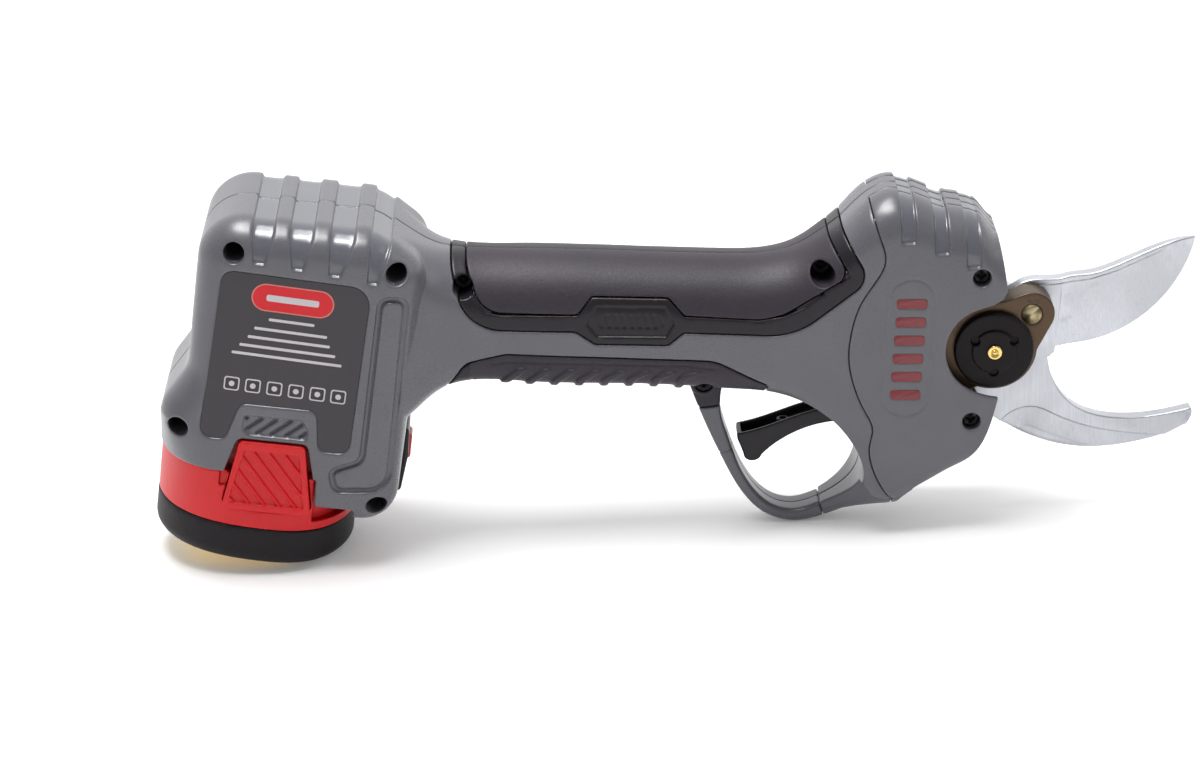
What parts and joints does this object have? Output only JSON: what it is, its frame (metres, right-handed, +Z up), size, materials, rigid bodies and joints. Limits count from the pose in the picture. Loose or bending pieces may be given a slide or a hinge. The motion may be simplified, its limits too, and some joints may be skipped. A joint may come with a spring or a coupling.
{
  "type": "battery electric pruner",
  "caption": "Hand-held battery pruner with a hinged cutting blade and hooked counter blade, bevel and planetary drive, trigger in a guard, and a slide-out battery block.",
  "frame": {"origin": "pivot axis of the blades on the middle plane of the tool", "axes": "+X towards the blade tips, +Z up, the right side of the tool faces -Y"},
  "size_m": [0.3195, 0.0594, 0.1126],
  "materials": {
    "grey_housing": "satin",
    "black_grip": "matte",
    "black_trim": "satin",
    "nameplate": "satin",
    "badge_red": "matte",
    "button_red": "gloss",
    "battery_red": "satin",
    "battery_black": "matte",
    "label_yellow": "satin",
    "screw_steel": "satin",
    "bracket_alloy": "cast",
    "blade_steel": "ground",
    "bolt_steel": "satin",
    "nut_black": "black oxide",
    "brass": "satin",
    "bearing_steel": "satin",
    "gear_steel": "satin",
    "arm_bronze": "satin",
    "pin_bronze": "ground",
    "motor_steel": "satin",
    "copper": "wound",
    "board_green": "satin",
    "wire_red": "satin",
    "cap_black": "satin",
    "cell_green": "gloss",
    "nickel": "satin"
  },
  "bodies": {
    "housing": {"housing_right": "grey_housing", "housing_left": "grey_housing", "head_cover_right": "grey_housing", "head_cover_left": "grey_housing", "grip_panel_right": "black_grip", "grip_panel_left": "black_grip", "grip_trim_right": "black_trim", "grip_trim_left": "black_trim", "lower_grip": "black_grip", "trigger_guard": "grey_housing", "label_plate": "nameplate", "head_badge_right": "badge_red", "head_badge_left": "badge_red", "control_panel": "black_trim", "power_switch": "black_trim", "housing_screws": "screw_steel", "cover_screws": "screw_steel", "guard_screw": "screw_steel", "blade_bracket": "bracket_alloy", "anvil_blade": "blade_steel", "anvil_screws": "screw_steel", "pivot_bolt": "bolt_steel", "pivot_nut": "nut_black", "grease_fitting": "brass", "shaft_bearing": "bearing_steel", "ring_gear": "gear_steel", "motor_can": "motor_steel", "motor_stator": "copper", "wiring": "wire_red", "control_board": "board_green", "capacitor": "cap_black", "terminal_block": "black_trim", "terminal_blades": "brass", "hall_board": "board_green", "trigger_pin": "bearing_steel", "trigger_spring": "bearing_steel"},
    "cutter": {"sector_arm": "arm_bronze", "drive_pin": "pin_bronze", "moving_blade": "blade_steel"},
    "output_shaft": {"bevel_pinion": "gear_steel", "output_carrier": "gear_steel"},
    "first_stage": {"first_carrier": "gear_steel"},
    "motor_shaft": {"rotor": "motor_steel"},
    "trigger": {"trigger": "black_trim", "trigger_magnet": "bearing_steel"},
    "power_button": {"power_button": "button_red"},
    "battery": {"battery_case": "battery_red", "battery_base": "battery_black", "base_label": "label_yellow", "battery_cells": "cell_green", "cell_links": "nickel", "battery_board": "board_green"},
    "latch_right": {"latch_right": "battery_red"},
    "latch_left": {"latch_left": "battery_red"},
    "planet_out_a": {"planet_out_a": "gear_steel"},
    "planet_out_b": {"planet_out_b": "gear_steel"},
    "planet_out_c": {"planet_out_c": "gear_steel"},
    "planet_in_a": {"planet_in_a": "gear_steel"},
    "planet_in_b": {"planet_in_b": "gear_steel"},
    "planet_in_c": {"planet_in_c": "gear_steel"}
  },
  "joints": [
    {"name": "blade_hinge", "type": "hinge", "parent": "housing", "child": "cutter", "pos_m": [0, 0, 0], "axis": [0, 1, 0], "range_deg": [-9, 50]},
    {"name": "output_spin", "type": "hinge", "parent": "housing", "child": "output_shaft", "pos_m": [0, 0.001, 0], "axis": [-0.9936, 0, 0.1132], "range_deg": [-60, 220]},
    {"name": "first_stage_spin", "type": "hinge", "parent": "housing", "child": "first_stage", "pos_m": [0, 0.001, 0], "axis": [-0.9936, 0, 0.1132], "range_deg": [-260, 1060]},
    {"name": "motor_spin", "type": "hinge", "parent": "housing", "child": "motor_shaft", "pos_m": [0, 0.001, 0], "axis": [-0.9936, 0, 0.1132], "range_deg": [-1200, 5200]},
    {"name": "trigger_hinge", "type": "hinge", "parent": "housing", "child": "trigger", "pos_m": [-0.036, 0, -0.0185], "axis": [0, 1, 0], "range_deg": [0, 12], "deforming": ["trigger_spring"]},
    {"name": "power_press", "type": "slide", "parent": "housing", "child": "power_button", "axis": [-0.9877, 0, 0.1564], "range_m": [0, 0.0014]},
    {"name": "battery_slide", "type": "slide", "parent": "housing", "child": "battery", "axis": [-0.1564, 0, -0.9877], "range_m": [0, 0.09]},
    {"name": "latch_right_press", "type": "slide", "parent": "battery", "child": "latch_right", "axis": [0, 1, 0], "range_m": [0, 0.0024]},
    {"name": "latch_left_press", "type": "slide", "parent": "battery", "child": "latch_left", "axis": [0, -1, 0], "range_m": [0, 0.0024]},
    {"name": "planet_out_a_spin", "type": "hinge", "parent": "output_shaft", "child": "planet_out_a", "pos_m": [-0.03889, 0.001, 0.01198], "axis": [-0.9936, 0, 0.1132], "range_deg": [-594, 167]},
    {"name": "planet_out_b_spin", "type": "hinge", "parent": "output_shaft", "child": "planet_out_b", "pos_m": [-0.04017, 0.00749, 0.0008], "axis": [-0.9936, 0, 0.1132], "range_deg": [-594, 167]},
    {"name": "planet_out_c_spin", "type": "hinge", "parent": "output_shaft", "child": "planet_out_c", "pos_m": [-0.04017, -0.00549, 0.0008], "axis": [-0.9936, 0, 0.1132], "range_deg": [-594, 167]},
    {"name": "planet_in_a_spin", "type": "hinge", "parent": "first_stage", "child": "planet_in_a", "pos_m": [-0.03889, 0.001, 0.01198], "axis": [-0.9936, 0, 0.1132], "range_deg": [-2727, 594]},
    {"name": "planet_in_b_spin", "type": "hinge", "parent": "first_stage", "child": "planet_in_b", "pos_m": [-0.04017, 0.00749, 0.0008], "axis": [-0.9936, 0, 0.1132], "range_deg": [-2727, 594]},
    {"name": "planet_in_c_spin", "type": "hinge", "parent": "first_stage", "child": "planet_in_c", "pos_m": [-0.04017, -0.00549, 0.0008], "axis": [-0.9936, 0, 0.1132], "range_deg": [-2727, 594]}
  ],
  "couplings": [
    {"joint": "output_spin", "follows": "blade_hinge", "ratio": 4},
    {"joint": "first_stage_spin", "follows": "blade_hinge", "ratio": 20},
    {"joint": "motor_spin", "follows": "blade_hinge", "ratio": 100},
    {"joint": "planet_out_a_spin", "follows": "blade_hinge", "ratio": -10.667},
    {"joint": "planet_out_b_spin", "follows": "blade_hinge", "ratio": -10.667},
    {"joint": "planet_out_c_spin", "follows": "blade_hinge", "ratio": -10.667},
    {"joint": "planet_in_a_spin", "follows": "blade_hinge", "ratio": -53.333},
    {"joint": "planet_in_b_spin", "follows": "blade_hinge", "ratio": -53.333},
    {"joint": "planet_in_c_spin", "follows": "blade_hinge", "ratio": -53.333}
  ]
}
